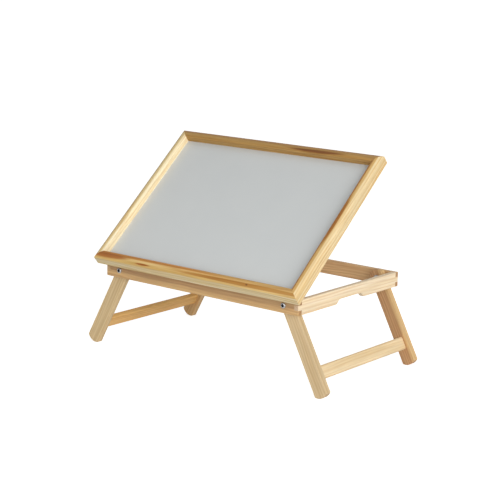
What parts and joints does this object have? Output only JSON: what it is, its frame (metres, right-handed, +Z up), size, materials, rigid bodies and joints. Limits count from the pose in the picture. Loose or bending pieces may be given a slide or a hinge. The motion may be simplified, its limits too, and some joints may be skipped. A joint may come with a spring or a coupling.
{
  "type": "bed tray table",
  "caption": "Folding wooden bed tray table: box-jointed base on two splayed folding leg pairs, with a framed writing top that tilts on front hinges over a prop.",
  "frame": {"origin": "on the ground plane that the four feet stand on, below the centre of the bounding box of the whole table in its rest pose: legs unfolded, top tilted up", "axes": "+Z up; +X to the user's right as the user sits at the low hinged front edge; +Y from the user to the raised back edge"},
  "size_m": [0.7182, 0.4336, 0.5031],
  "materials": {
    "pine_rails": "clear lacquered pine, satin",
    "pine_legs": "clear lacquered pine, satin",
    "pine_moulding": "clear lacquered pine, satin",
    "pine_inner": "plain sanded pine",
    "panel_board": "grey-white laminate on thin fibreboard, matt",
    "bolt_steel": "bright nickel plate",
    "hinge_steel": "zinc plated",
    "pad_rubber": "clear soft pad"
  },
  "bodies": {
    "base": {"front_rail": "pine_rails", "back_rail": "pine_rails", "left_side_rail": "pine_rails", "right_side_rail": "pine_rails", "notched_track": "pine_inner", "pivot_bolts": "bolt_steel", "pivot_washers": "hinge_steel", "pivot_nuts": "bolt_steel", "hinge_lower_leaves": "hinge_steel", "hinge_pins": "hinge_steel", "lower_leaf_screws": "hinge_steel"},
    "right_legs": {"front_right_leg": "pine_legs", "back_right_leg": "pine_legs", "right_stretcher": "pine_legs"},
    "left_legs": {"front_left_leg": "pine_legs", "back_left_leg": "pine_legs", "left_stretcher": "pine_legs"},
    "top": {"top_front_moulding": "pine_moulding", "top_back_moulding": "pine_moulding", "top_left_moulding": "pine_moulding", "top_right_moulding": "pine_moulding", "writing_panel": "panel_board", "prop_batten": "pine_inner", "prop_pivot_blocks": "pine_inner", "block_screws": "hinge_steel", "prop_pivot_rod": "hinge_steel", "bumper_pads": "pad_rubber", "hinge_upper_leaves": "hinge_steel", "upper_leaf_screws": "hinge_steel"},
    "prop": {"prop_left_arm": "pine_inner", "prop_right_arm": "pine_inner", "prop_foot_rod": "pine_inner"}
  },
  "joints": [
    {"name": "right_leg_fold", "type": "hinge", "parent": "base", "child": "right_legs", "pos_m": [0.24459, 0.01361, 0.19657], "axis": [0, 1, 0], "range_deg": [0, 117.9]},
    {"name": "left_leg_fold", "type": "hinge", "parent": "base", "child": "left_legs", "pos_m": [-0.24459, 0.01361, 0.19657], "axis": [0, -1, 0], "range_deg": [0, 117.9]},
    {"name": "top_tilt", "type": "hinge", "parent": "base", "child": "top", "pos_m": [0, -0.18889, 0.21537], "axis": [1, 0, 0], "range_deg": [-40.6, 0]},
    {"name": "prop_swing", "type": "hinge", "parent": "top", "child": "prop", "pos_m": [0, -0.06814, 0.31267], "axis": [1, 0, 0], "range_deg": [0, 91.25]}
  ],
  "couplings": [
    {"joint": "prop_swing", "follows": "top_tilt", "ratio": -2.2462}
  ]
}
